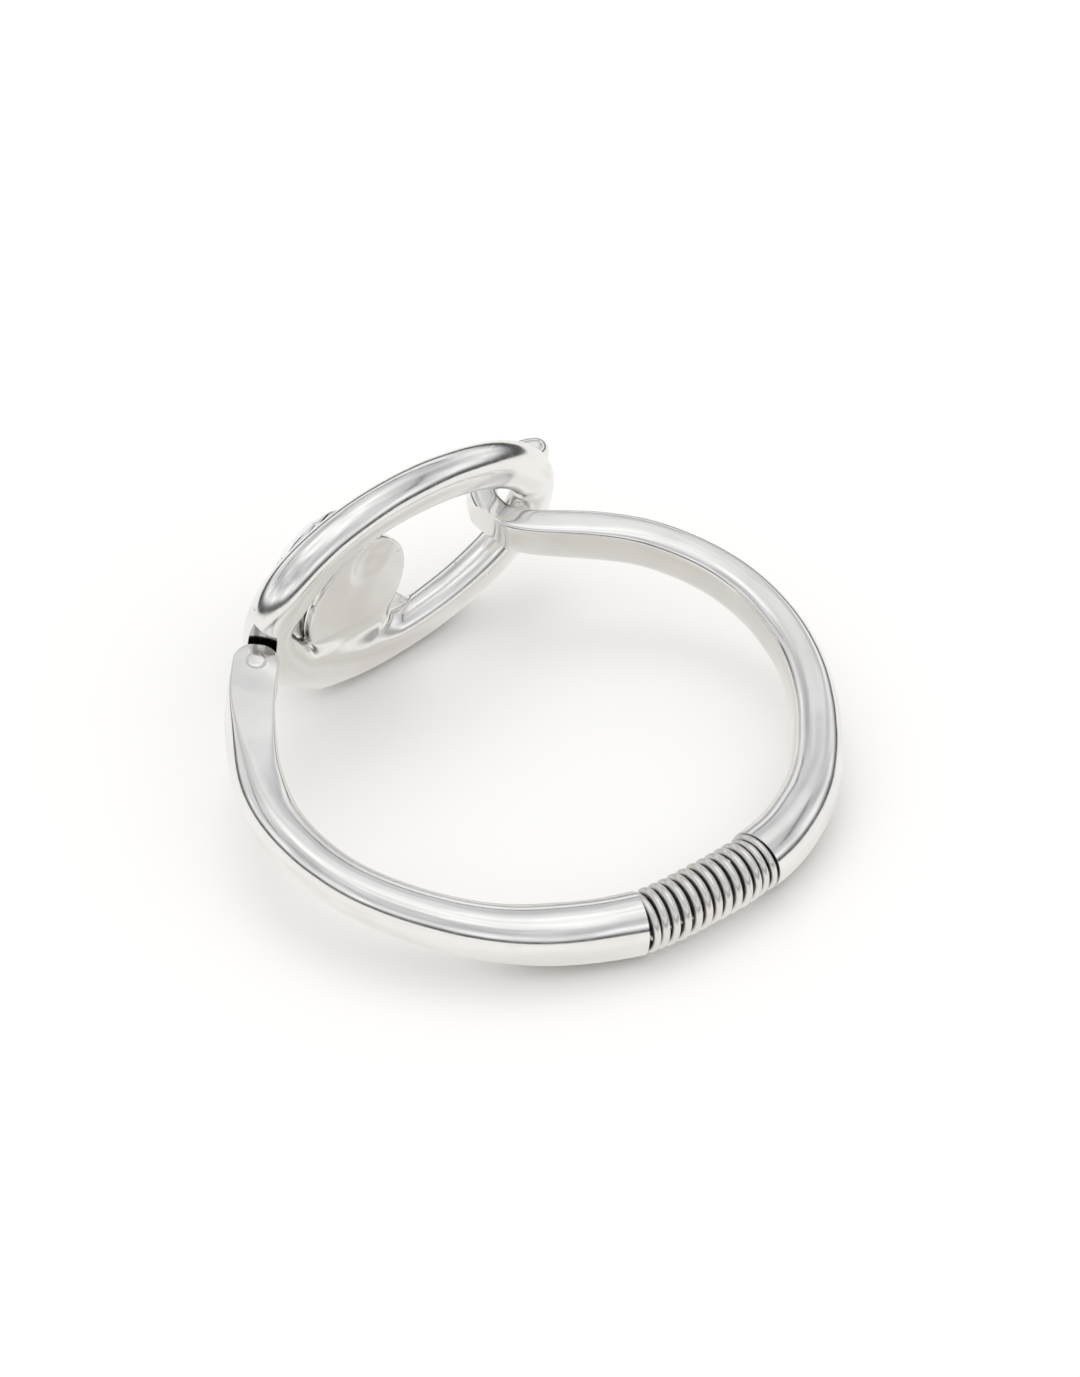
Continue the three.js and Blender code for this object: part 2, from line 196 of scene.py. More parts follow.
def band_rings(points, table, n, sides, wave, dome=0.0, dome_n=14):
    """Sweep with a varying section: x radial (outward positive), y up.
    table columns: along, half width, half height, inner roundness, outer roundness,
    lean of the top (deg), flat inside, flat outside (0 fully round top, 1 broad flat top)"""
    C, length = catmull(points, 2000)
    t = np.linspace(0, 1, n)
    kk = np.ones(n)
    if dome > 0:
        cut = dome / length
        body = np.linspace(0, 1 - cut, n)
        ang = np.linspace(0, math.pi / 2 * 0.985, dome_n)[1:]
        t = np.r_[body, 1 - cut + cut * np.sin(ang)]
        kk = np.r_[np.ones(n), np.cos(ang)]
    s_all = np.linspace(0, 1, len(C))
    P = np.stack([np.interp(t, s_all, C[:, k]) for k in range(3)], 1)
    dC = np.gradient(C, axis=0)
    T = np.stack([np.interp(t, s_all, dC[:, k]) for k in range(3)], 1)
    T /= np.linalg.norm(T, axis=1)[:, None]
    side = np.cross(T, [0, 0, 1.0]); side /= np.linalg.norm(side, axis=1)[:, None]
    lift = np.cross(side, T)
    S = smooth_table(table, t)
    a = np.linspace(0, 2 * math.pi, sides, endpoint=False)
    c, s = np.cos(a), np.sin(a)
    rings = []
    for i in range(len(t)):
        hw, hh, ei, eo, tp, fi, fo = S[i]
        w = 0.5 * (1 + np.tanh(c * 2.2))             # 0 inside, 1 outside
        e = ei * (1 - w) + eo * w
        r = (np.abs(c) ** e + np.abs(s) ** e) ** (-1 / e)
        x = r * c * hw; y = r * s * hh
        if fi > 1e-3 or fo > 1e-3:
            fl = fi * (1 - w) + fo * w
            k = 1 / (1 - 0.56 * fl); p = 9.0
            v_ = np.abs(r * s) * k
            cap = v_ / (1 + v_ ** p) ** (1 / p) / (k / (1 + k ** p) ** (1 / p))
            b_ = np.clip(fl / 0.3, 0, 1); b_ = b_ * b_ * (3 - 2 * b_)
            y = y * (1 - b_) + np.sign(s) * cap * hh * b_
        wob = undulate(t[i] * length, wave)
        wob2 = undulate(t[i] * length + 11.0, wave)
        x = x * (0.985 + wob * 0.5); y = y * (0.985 + wob2 * 0.35)
        # lean: the outer side stands higher, so the top faces slightly inward
        y = y + math.tan(math.radians(tp)) * x * (0.5 + 0.5 * np.tanh(s * 3)) * 0.5
        y = np.minimum(y, hh * 0.992)
        x, y = x * kk[i], y * kk[i]
        rings.append(P[i] + np.outer(x, side[i]) + np.outer(y, lift[i]))
    return np.array(rings)


def boolean(ob, cutter, op="DIFFERENCE"):
    mod = ob.modifiers.new("b", "BOOLEAN")
    mod.operation, mod.object, mod.solver = op, cutter, "EXACT"
    dg = bpy.context.evaluated_depsgraph_get()
    me = bpy.data.meshes.new_from_object(ob.evaluated_get(dg))
    old = ob.data
    ob.modifiers.clear()
    ob.data = me
    me.name = ob.name
    bpy.data.meshes.remove(old)
    bpy.data.objects.remove(cutter)


def lathe(profile, seg, place):
    """closed profile of (r, h); place maps (x, h, z) mm -> row frame metres"""
    prof = np.array(profile, float)
    a = np.linspace(0, 2 * math.pi, seg, endpoint=False)
    verts, faces, idx = [], [], []
    for r, h in prof:
        if r < 1e-6:
            idx.append([len(verts)]); verts.append((0, h, 0))
        else:
            idx.append(list(range(len(verts), len(verts) + seg)))
            verts += [(r * math.cos(x), h, r * math.sin(x)) for x in a]
    for p, q in zip(idx[:-1], idx[1:]):
        for j in range(seg):
            k = (j + 1) % seg
            if len(p) == 1 and len(q) == 1:
                continue
            if len(p) == 1:
                faces.append((p[0], q[j], q[k]))
            elif len(q) == 1:
                faces.append((p[j], q[0], p[k]))
            else:
                faces.append((p[j], q[j], q[k], p[k]))
    return place(np.array(verts)), faces


def round_profile(pts, radius, n=6):
    """rounds the inner corners of an open polyline by a small arc-like curve"""
    P = [np.array(p, float) for p in pts]
    out = [P[0]]
    for i in range(1, len(P) - 1):
        a, b, c = P[i - 1], P[i], P[i + 1]
        la, lc = np.linalg.norm(a - b), np.linalg.norm(c - b)
        r = min(radius, la * 0.45, lc * 0.45)
        p0, p1 = b + (a - b) / la * r, b + (c - b) / lc * r
        for q in np.linspace(0, 1, n):
            out.append((1 - q) ** 2 * p0 + 2 * q * (1 - q) * b + q ** 2 * p1)
    out.append(P[-1])
    return [tuple(p) for p in out]


# ----------------------------------------------------------------- materials
def new_mat(name):
    m = bpy.data.materials.new(name)
    m.use_nodes = True
    nt = m.node_tree
    for n in list(nt.nodes):
        nt.nodes.remove(n)
    out = nt.nodes.new("ShaderNodeOutputMaterial")
    bsdf = nt.nodes.new("ShaderNodeBsdfPrincipled")
    nt.links.new(bsdf.outputs[0], out.inputs[0])
    return m, nt, bsdf


def silver(name, base=(0.955, 0.95, 0.943), dark=(0.26, 0.24, 0.22), rough=0.11, rough2=0.19, wave=0.14, pits=0.0,
           tarnish_and_shade=0.0, scratch=0.03):
    m, nt, b = new_mat(name)
    N, L = nt.nodes, nt.links
    tc = N.new("ShaderNodeTexCoord")

    def noise(scale, detail=3.0, rough_=0.5, dist=0.0):
        n = N.new("ShaderNodeTexNoise")
        n.inputs["Scale"].default_value = scale
        n.inputs["Detail"].default_value = detail
        n.inputs["Roughness"].default_value = rough_
        n.inputs["Distortion"].default_value = dist
        L.new(tc.outputs["Object"], n.inputs["Vector"])
        return n

    def ramp(src, lo, hi, a, c):
        r = N.new("ShaderNodeMapRange")
        r.inputs["From Min"].default_value, r.inputs["From Max"].default_value = lo, hi
        r.inputs["To Min"].default_value, r.inputs["To Max"].default_value = a, c
        L.new(src, r.inputs["Value"])
        return r.outputs["Result"]

    # colour: a warm, slightly uneven plate, darkened by painted shade in crevices and close gaps
    big = noise(160, 4)
    mix = N.new("ShaderNodeMix"); mix.data_type = "RGBA"
    mix.inputs[6].default_value = (*base, 1)
    mix.inputs[7].default_value = (*[v * 0.965 for v in base], 1)
    L.new(ramp(big.outputs["Fac"], 0.42, 0.62, 0, 1), mix.inputs[0])
    # painted shade: an ambient-occlusion mask darkens the base colour towards dark in crevices, pockets and close gaps
    ao = N.new("ShaderNodeAmbientOcclusion"); ao.samples = 8; ao.inputs["Distance"].default_value = 0.0024
    geo = N.new("ShaderNodeNewGeometry")
    mix2 = N.new("ShaderNodeMix"); mix2.data_type = "RGBA"
    mix2.inputs[7].default_value = (*dark, 1)
    L.new(mix.outputs[2], mix2.inputs[6])
    occ = ramp(ao.outputs["AO"], 0.15, 0.66, 1.0, 0.0)
    # on the link, concave spots (pointiness) darken too: painted shade that also stands for tarnish in the hollows
    if tarnish_and_shade > 0:
        cav = ramp(geo.outputs["Pointiness"], 0.40, 0.50, 1.0, 0.0)
        mx = N.new("ShaderNodeMath"); mx.operation = "MAXIMUM"
        L.new(occ, mx.inputs[0]); L.new(cav, mx.inputs[1])
        mu = N.new("ShaderNodeMath"); mu.operation = "MULTIPLY"; mu.inputs[1].default_value = tarnish_and_shade
        L.new(mx.outputs[0], mu.inputs[0])
        L.new(mu.outputs[0], mix2.inputs[0])
    else:
        # elsewhere the painted shade comes from the occlusion mask alone, at 0.85
        mu = N.new("ShaderNodeMath"); mu.operation = "MULTIPLY"; mu.inputs[1].default_value = 0.85
        L.new(occ, mu.inputs[0]); L.new(mu.outputs[0], mix2.inputs[0])
    L.new(mix2.outputs[2], b.inputs["Base Color"])
    b.inputs["Metallic"].default_value = 1.0
    # roughness: soft patches plus faint polishing streaks
    sm = noise(900, 5, 0.6)
    L.new(ramp(sm.outputs["Fac"], 0.35, 0.7, rough, rough2), b.inputs["Roughness"])
    # bump: cast undulation, fine scratches, sparse pits
    h = None
    und = noise(95, 2.0, 0.45)
    bu = N.new("ShaderNodeBump"); bu.inputs["Strength"].default_value = wave; bu.inputs["Distance"].default_value = 0.0012
    L.new(und.outputs["Fac"], bu.inputs["Height"])
    mp = N.new("ShaderNodeMapping"); mp.inputs["Scale"].default_value = (900, 5200, 2600)
    mp.inputs["Rotation"].default_value = (0.4, 0.7, 0.9)
    L.new(tc.outputs["Object"], mp.inputs["Vector"])
    sc = N.new("ShaderNodeTexNoise"); sc.inputs["Scale"].default_value = 1.0; sc.inputs["Detail"].default_value = 2
    L.new(mp.outputs["Vector"], sc.inputs["Vector"])
    bs = N.new("ShaderNodeBump"); bs.inputs["Strength"].default_value = scratch; bs.inputs["Distance"].default_value = 0.00005
    L.new(sc.outputs["Fac"], bs.inputs["Height"]); L.new(bu.outputs["Normal"], bs.inputs["Normal"])
    last = bs
    if pits > 0:
        vo = N.new("ShaderNodeTexVoronoi"); vo.inputs["Scale"].default_value = 520
        L.new(tc.outputs["Object"], vo.inputs["Vector"])
        gate = noise(260, 1)
        pr = ramp(vo.outputs["Distance"], 0.0, 0.16, 0.0, 1.0)
        gr = ramp(gate.outputs["Fac"], 0.60, 0.66, 0.0, 1.0)
        inv = N.new("ShaderNodeMath"); inv.operation = "SUBTRACT"; inv.inputs[0].default_value = 1.0
        L.new(pr, inv.inputs[1])
        ml = N.new("ShaderNodeMath"); ml.operation = "MULTIPLY"
        L.new(inv.outputs[0], ml.inputs[0]); L.new(gr, ml.inputs[1])
        bp = N.new("ShaderNodeBump"); bp.inputs["Strength"].default_value = pits; bp.inputs["Distance"].default_value = 0.0002
        bp.invert = True
        L.new(ml.outputs[0], bp.inputs["Height"]); L.new(last.outputs["Normal"], bp.inputs["Normal"])
        last = bp
    L.new(last.outputs["Normal"], b.inputs["Normal"])
    return m


def glass(name):
    m, nt, b = new_mat(name)
    N, L = nt.nodes, nt.links
    tc = N.new("ShaderNodeTexCoord")
    n = N.new("ShaderNodeTexNoise"); n.inputs["Scale"].default_value = 700; n.inputs["Detail"].default_value = 4
    L.new(tc.outputs["Object"], n.inputs["Vector"])
    r = N.new("ShaderNodeMapRange")
    r.inputs["From Min"].default_value, r.inputs["From Max"].default_value = 0.4, 0.7
    r.inputs["To Min"].default_value, r.inputs["To Max"].default_value = 0.0, 0.025
    L.new(n.outputs["Fac"], r.inputs["Value"]); L.new(r.outputs["Result"], b.inputs["Roughness"])
    mix = N.new("ShaderNodeMix"); mix.data_type = "RGBA"
    mix.inputs[6].default_value = (0.93, 0.96, 0.99, 1); mix.inputs[7].default_value = (0.86, 0.92, 0.98, 1)
    L.new(n.outputs["Fac"], mix.inputs[0]); L.new(mix.outputs[2], b.inputs["Base Color"])
    b.inputs["Transmission Weight"].default_value = 1.0
    b.inputs["IOR"].default_value = 1.62
    return m


def plain_metal(name, col, col2, rough, stripes=None):
    m, nt, b = new_mat(name)
    N, L = nt.nodes, nt.links
    tc = N.new("ShaderNodeTexCoord")
    n = N.new("ShaderNodeTexNoise"); n.inputs["Scale"].default_value = 1200; n.inputs["Detail"].default_value = 5
    L.new(tc.outputs["Object"], n.inputs["Vector"])
    mix = N.new("ShaderNodeMix"); mix.data_type = "RGBA"
    mix.inputs[6].default_value = (*col, 1); mix.inputs[7].default_value = (*col2, 1)
    L.new(n.outputs["Fac"], mix.inputs[0]); L.new(mix.outputs[2], b.inputs["Base Color"])
    b.inputs["Metallic"].default_value = 1.0
    r = N.new("ShaderNodeMapRange")
    r.inputs["To Min"].default_value, r.inputs["To Max"].default_value = rough * 0.8, rough * 1.4
    L.new(n.outputs["Fac"], r.inputs["Value"]); L.new(r.outputs["Result"], b.inputs["Roughness"])
    bu = N.new("ShaderNodeBump"); bu.inputs["Strength"].default_value = 0.2; bu.inputs["Distance"].default_value = 0.00005
    L.new(n.outputs["Fac"], bu.inputs["Height"]); L.new(bu.outputs["Normal"], b.inputs["Normal"])
    return m


SILVER = silver("polished_silver")
# link: stronger painted shade in its crevices and concave spots, standing also for tarnish there
SILVER_LINK = silver("polished_silver_link", pits=0.6, tarnish_and_shade=0.85)
PIN_MAT = silver("pin_silver", base=(0.93, 0.925, 0.91), rough=0.10, rough2=0.2, wave=0.02)
CRYSTAL = glass("clear_crystal")
# core: dark brown so the gaps between the coil's turns read dark, painted shade seen through the gaps
CABLE = plain_metal("core_cable", (0.22, 0.19, 0.165), (0.10, 0.085, 0.075), 0.45)
BRASS = plain_metal("ferrule_brass", (0.70, 0.53, 0.30), (0.55, 0.40, 0.22), 0.32)


def coil_material():
    m, nt, b = new_mat("oxidised_silver")
    N, L = nt.nodes, nt.links
    tc = N.new("ShaderNodeTexCoord")
    at = N.new("ShaderNodeAttribute"); at.attribute_name = "crest"
    n = N.new("ShaderNodeTexNoise"); n.inputs["Scale"].default_value = 650; n.inputs["Detail"].default_value = 4
    L.new(tc.outputs["Object"], n.inputs["Vector"])
    ad = N.new("ShaderNodeMath"); ad.operation = "MULTIPLY_ADD"; ad.inputs[1].default_value = 0.35; ad.inputs[2].default_value = -0.17
    L.new(n.outputs["Fac"], ad.inputs[0])
    su = N.new("ShaderNodeMath"); su.operation = "ADD"
    L.new(at.outputs["Fac"], su.inputs[0]); L.new(ad.outputs[0], su.inputs[1])
    # painted shade: near black on the wire's inner side, dark on its sides facing the next turns, bright only on the
    # outer crest
    r = N.new("ShaderNodeValToRGB")
    e = r.color_ramp.elements
    e[0].position, e[0].color = 0.26, (0.07, 0.058, 0.05, 1)
    e[1].position, e[1].color = 0.82, (0.86, 0.855, 0.845, 1)
    k = e.new(0.42); k.color = (0.24, 0.21, 0.185, 1)
    k = e.new(0.60); k.color = (0.62, 0.60, 0.58, 1)
    L.new(su.outputs[0], r.inputs["Fac"])
    # a copper-brown tint on the sides of the middle turns, where they face the gaps
    cp = N.new("ShaderNodeAttribute"); cp.attribute_name = "gap_tint"
    mix = N.new("ShaderNodeMix"); mix.data_type = "RGBA"
    mix.inputs[7].default_value = (0.62, 0.36, 0.24, 1)
    L.new(cp.outputs["Fac"], mix.inputs[0]); L.new(r.outputs["Color"], mix.inputs[6])
    L.new(mix.outputs[2], b.inputs["Base Color"])
    b.inputs["Metallic"].default_value = 1.0
    rr = N.new("ShaderNodeMapRange")
    rr.inputs["From Min"].default_value, rr.inputs["From Max"].default_value = 0.4, 0.85
    rr.inputs["To Min"].default_value, rr.inputs["To Max"].default_value = 0.55, 0.27
    L.new(su.outputs[0], rr.inputs["Value"]); L.new(rr.outputs["Result"], b.inputs["Roughness"])
    bu = N.new("ShaderNodeBump"); bu.inputs["Strength"].default_value = 0.25; bu.inputs["Distance"].default_value = 0.00006
    n2 = N.new("ShaderNodeTexNoise"); n2.inputs["Scale"].default_value = 3200; n2.inputs["Detail"].default_value = 3
    L.new(tc.outputs["Object"], n2.inputs["Vector"]); L.new(n2.outputs["Fac"], bu.inputs["Height"])
    L.new(bu.outputs["Normal"], b.inputs["Normal"])
    return m


COIL_MAT = coil_material()


def dress(ob, mat, body, slot, *nodes):
    ob.data.materials.clear()
    ob.data.materials.append(mat)
    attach(ob, body)
    if nodes:
        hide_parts(*nodes)
    return ob


# ------------------------------------------------------------------ hinge arm
hinge_pts = [[19.84, -22.94], [22.75, -19.95], [25.35, -16.5], [28.7, -11.0], [30.5, -6.0], [31.05, -1.4],
             [30.8, 2.6], [29.8, 6.9], [28.0, 10.98], [25.65, 14.85], [22.85, 18.35], [19.55, 21.4], [15.75, 23.95],
             [11.95, 25.9], [8.2, 27.33]]
hinge_table = [[0, 2.63, 2.78, 3.0, 3.0, 0, 1.0, 1.0], [0.06, 2.66, 2.78, 2.8, 2.5, 1, 1.0, 0.9], [0.12, 2.70, 2.77, 2.6, 2.2, 3, 0.85, 0.55],
               [0.18, 2.72, 2.76, 2.5, 2.1, 7, 0.62, 0.22], [0.25, 2.74, 2.75, 2.5, 2.0, 11, 0.34, 0.05], [0.33, 2.74, 2.75, 2.5, 2.0, 13, 0.12, 0],
               [0.45, 2.74, 2.77, 2.5, 2.0, 13, 0, 0], [0.7, 2.92, 2.97, 2.4, 2.05, 9, 0, 0], [0.88, 3.22, 3.32, 2.3, 2.1, 3, 0, 0],
               [1, 3.37, 3.44, 2.15, 2.1, 0, 0, 0]]
wave_h = [(1 / 17.0, 0.6, 0.016), (1 / 9.3, 2.1, 0.009), (1 / 29.0, 4.0, 0.016)]
rings = band_rings(hinge_pts, hinge_table, 420, 128, wave_h)
fork_dir = np.array([22.75 - 19.84, -19.95 + 22.94, 0.0]); fork_dir /= np.linalg.norm(fork_dir)
fork_side = np.cross(fork_dir, [0, 0, 1.0])
# rounded nose past the pin: sections narrow to nothing in plan, top and bottom stay
nose = []
base_ring = rings[0] - PIN
bx = base_ring @ fork_side; by = base_ring[:, 2]
for q in np.linspace(math.pi / 2 * 0.985, 0, 22, endpoint=False):
    w = math.cos(q)
    edge = 1 - 0.06 * (1 - w) ** 2
    nose.append(PIN - fork_dir * 2.63 * math.sin(q) + np.outer(bx * w, fork_side) + np.outer(by * edge, [0, 0, 1.0]))
rings = np.concatenate([np.array(nose), rings])
v, f = tube(rings)
hinge_arm = make_object("hinge_arm_cast", row(v), f, angle=0)


def box_obj(center, dirs, half):
    c = np.array(center, float)
    vs = [c + dirs[0] * half[0] * i + dirs[1] * half[1] * j + np.array([0, 0, 1.0]) * half[2] * k
          for i in (-1, 1) for j in (-1, 1) for k in (-1, 1)]
    fs = [(0, 1, 3, 2), (4, 6, 7, 5), (0, 4, 5, 1), (2, 3, 7, 6), (0, 2, 6, 4), (1, 5, 7, 3)]
    return make_object("cut", row(vs), fs, smooth=False)


def post_obj(p, r, z0, z1, seg=96):
    a = np.linspace(0, 2 * math.pi, seg, endpoint=False)
    ring = lambda z: np.stack([p[0] + r * np.cos(a), p[1] + r * np.sin(a), np.full(seg, z)], 1)
    v_, f_ = tube(np.array([ring(z0), ring(z1)]))
    return make_object("cut", row(v_), f_, smooth=False)


def rod_obj(p, d, r, length, back_=0.6, seg=64):
    d = np.array([d[0], d[1], 0.0]); s = np.cross(d, [0, 0, 1.0])
    a = np.linspace(0, 2 * math.pi, seg, endpoint=False)
    o = np.array([p[0], p[1], 0.0])
    ring = lambda q: o + d * q + np.outer(np.cos(a) * r, s) + np.outer(np.sin(a) * r, [0, 0, 1.0])
    v_, f_ = tube(np.array([ring(-back_), ring(length - back_)]))
    return make_object("cut", row(v_), f_, smooth=False)


hb = np.array([11.95 - 8.2, 25.9 - 27.33]); hb /= np.linalg.norm(hb)
boolean(hinge_arm, box_obj(PIN + fork_dir * (3.35 - 4.5), (fork_dir, fork_side), (4.5, 6, 1.06)))
boolean(hinge_arm, rod_obj([8.2, 27.33], hb, 2.4, 6.2))
hinge_arm.data.shade_smooth()
hinge_arm.data.set_sharp_from_angle(angle=math.radians(42))
dress(hinge_arm, SILVER, "hinge_side", "polished_silver", "hinge_arm")

# ------------------------------------------------------------------- hook arm
hook_pts = [[-7.9, 27.72], [-11.2, 27.15], [-14.6, 26.0], [-20.1, 22.9], [-24.8, 18.4], [-28.6, 13.4], [-31.2, 8.4],
            [-32.9, 2.0], [-33.1, -3.5], [-32.25, -8.1], [-30.75, -11.9], [-28.9, -15.05], [-26.9, -17.3], [-24.1, -19.75],
            [-21.0, -22.1], [-18.6, -24.2, 0], [-17.25, -26.4, 0], [-17.3, -29.0, 0], [-18.9, -31.6, 0.0], [-21.7, -33.1, 0.1],
            [-24.7, -33.35, 0.15], [-27.2, -33.0, 0.15], [-28.9, -32.0, 0.1]]
hook_table = [[0, 3.37, 3.44, 2.15, 2.1, 0, 0, 0], [0.08, 3.24, 3.34, 2.4, 2.1, 3, 0, 0], [0.25, 2.68, 2.87, 3.0, 2.05, 9, 0, 0],
              [0.45, 2.33, 2.62, 3.6, 2.2, 11, 0, 0], [0.60, 2.18, 2.46, 3.8, 2.3, 9, 0.1, 0.1], [0.72, 2.08, 2.32, 3.4, 2.4, 5, 0.3, 0.3],
              [0.80, 1.93, 2.08, 2.9, 2.5, 2, 0.4, 0.4], [0.88, 1.73, 1.88, 2.4, 2.3, 0, 0.1, 0.1], [1, 1.48, 1.63, 2.1, 2.1, 0, 0, 0]]
wave_k = [(1 / 19.0, 1.6, 0.016), (1 / 8.7, 0.3, 0.008), (1 / 31.0, 2.2, 0.014)]
rings = band_rings(hook_pts, hook_table, 520, 128, wave_k, dome=1.5)
v, f = tube(rings)
hook_arm = make_object("hook_arm_cast", row(v), f, angle=0)
kb = np.array([-11.2 + 7.9, 27.15 - 27.72]); kb /= np.linalg.norm(kb)
boolean(hook_arm, rod_obj([-7.9, 27.72], kb, 2.4, 6.2))
# hammered flat on the inside of the last bend
kn = np.array([0.985, 0.14, -0.10]); kn /= np.linalg.norm(kn)
k1 = np.cross([0, 0, 1.0], kn); k1 /= np.linalg.norm(k1)
k2 = np.cross(kn, k1)
kc = np.array([-16.08, -26.6, 0.3]) + kn * 2.0
kv = [kc + kn * 2.0 * i + k1 * 4.2 * j + k2 * 4.2 * k for i in (-1, 1) for j in (-1, 1) for k in (-1, 1)]
boolean(hook_arm, make_object("cut", row(kv), [(0, 1, 3, 2), (4, 6, 7, 5), (0, 4, 5, 1), (2, 3, 7, 6), (0, 2, 6, 4), (1, 5, 7, 3)], smooth=False))
hook_arm.data.shade_smooth()
hook_arm.data.set_sharp_from_angle(angle=math.radians(42))
dress(hook_arm, SILVER, "hook_side", "polished_silver", "hook_arm")

# ----------------------------------------------------------------------- link
U0, U1, LB = 4.3, 44.5, 11.1
RISE, ROLL, EGG = 1.05, -0.064, -0.11
LH = (1.06, -1.105, 0.24)
UC, LA = (U0 + U1) / 2, (U1 - U0) / 2
SU, SZ = 17.2, 0.0                                   # centre of the round back plate


def link_centre(t):
    x = np.cos(t)
    return np.stack([UC + LA * x, LH[0] + LH[1] * x + LH[2] * x * x,
                     RISE + LB * np.sin(t) * (1 + EGG * x) + ROLL * LA * x], -1)


def sstep(x):
    x = np.clip(x, 0, 1)
    return x * x * (3 - 2 * x)


def link_axes(t):
    P = link_centre(t)
    T = link_centre(t + 1e-3) - link_centre(t - 1e-3); T /= np.linalg.norm(T, axis=-1)[:, None]
    inp = np.cross(T, [0, 1.0, 0]); inp /= np.linalg.norm(inp, axis=-1)[:, None]
    thick = np.cross(inp, T)
    end = np.maximum(0, -np.cos(t)) ** 4
    wob = 0.012 * np.sin(3 * t + 0.7) + 0.008 * np.sin(7 * t + 2) + 0.006 * np.sin(11 * t + 4)
    st = np.sin(t)
    full = np.where(st > 0, 0.42, 0.24) * sstep(np.abs(st) / 0.4)
    deep = 0.18 * sstep(np.abs(st) / 0.4)
    P = P + inp * full[:, None] - thick * deep[:, None]
    return P, inp, thick, (2.355 + 0.43 * end) * (1 + wob) + full, (2.22 + 0.42 * end) * (1 + 0.7 * wob) + deep


def smin(a, b, k):
    h = np.maximum(k - np.abs(a - b), 0) / k
    return np.minimum(a, b) - h * h * k * 0.25


tt = np.linspace(0, 2 * math.pi, 1440, endpoint=False)
CC = link_centre(tt)


def near_t(p):
    out = np.zeros(len(p))
    for i in range(0, len(p), 8000):
        q_ = p[i:i + 8000]
        d2 = (q_ ** 2).sum(1)[:, None] - 2 * q_ @ CC.T + (CC ** 2).sum(1)[None]
        out[i:i + 8000] = tt[np.argmin(d2, 1)]
    return out


def link_field(p, t0):
    """signed distance (roughly) to the cast link: ring, back plate and the web between them"""
    t = t0.copy()
    for _ in range(2):
        C_ = link_centre(t); D_ = (link_centre(t + 1e-3) - link_centre(t - 1e-3)) / 2e-3
        t = t + ((p - C_) * D_).sum(1) / (D_ * D_).sum(1) * 0.9
    P_, inp, th, hw, hh = link_axes(t)
    q_ = p - P_
    a_, b_ = (q_ * inp).sum(1) / hw, (q_ * th).sum(1) / hh
    g = 0.30                                          # the flats are turned a little round the rail
    a2, b2 = a_ * math.cos(g) + b_ * math.sin(g), -a_ * math.sin(g) + b_ * math.cos(g)
    m_ = 6.5
    rr_ = (np.abs(a2) ** m_ + np.abs(b2) ** m_ + np.abs((a2 + b2) * 0.685) ** m_ + np.abs((a2 - b2) * 0.685) ** m_) ** (1 / m_)
    ring = (rr_ - 1) * np.minimum(hw, hh)
    du, dz, h_ = p[:, 0] - SU, p[:, 2] - SZ, p[:, 1]
    r_ = np.sqrt(du * du + dz * dz)
    # back of the plate: nearly flat, with a thumb-sized dish near its upper edge
    dish = 0.88 * sstep(1 - np.sqrt(((du - 1.6) * 0.83 + (dz - 4.9) * -0.55) ** 2 / 2.9 ** 2 + ((du - 1.6) * 0.55 + (dz - 4.9) * 0.83) ** 2 / 3.1 ** 2) * 0.8)
    back_h = 0.98 + 0.16 * sstep(1 - r_ / 5.0) + dish + 0.05 * np.sin(du * 0.9 + 1) * np.sin(dz * 0.7)
    rd = 0.34
    dr = r_ - (7.4 - rd) + 0.05 * np.sin(3 * np.arctan2(dz, du) + 1)
    dh = np.maximum(back_h - h_, h_ - 2.2) + rd
    plate_f = np.minimum(np.maximum(dr, dh), 0) + np.hypot(np.maximum(dr, 0), np.maximum(dh, 0)) - rd
    # web that carries the plate into the lower rail, cut off slantwise on the right
    wd = [0.78 * (p[:, 0] - 24.9) + 0.625 * (p[:, 2] + 4.9), 11.5 - p[:, 0], p[:, 2] + 3.0, -9.8 - p[:, 2], 1.0 + 0.12 * (p[:, 2] + 9.8) - h_, h_ - 2.2]
    web_f = wd[0]
    for w_ in wd[1:]:
        web_f = -smin(-web_f, -w_, 0.7)
    k_ = 0.22 + 2.2 * sstep((27.5 - p[:, 0]) / 6.0) * sstep((SZ - 1.0 - p[:, 2]) / 4.0)
    return smin(ring, smin(plate_f, web_f, 1.2), k_)


def project(p, rounds):
    t0 = near_t(p)
    e = 0.01
    for _ in range(rounds):
        f0 = link_field(p, t0)
        g_ = np.stack([link_field(p + np.eye(3)[k] * e, t0) - link_field(p - np.eye(3)[k] * e, t0) for k in range(3)], 1) / (2 * e)
        g2 = np.maximum((g_ * g_).sum(1), 0.05)
        step = np.clip(f0 / g2, -0.6, 0.6)
        p = p - g_ * step[:, None]
    return p


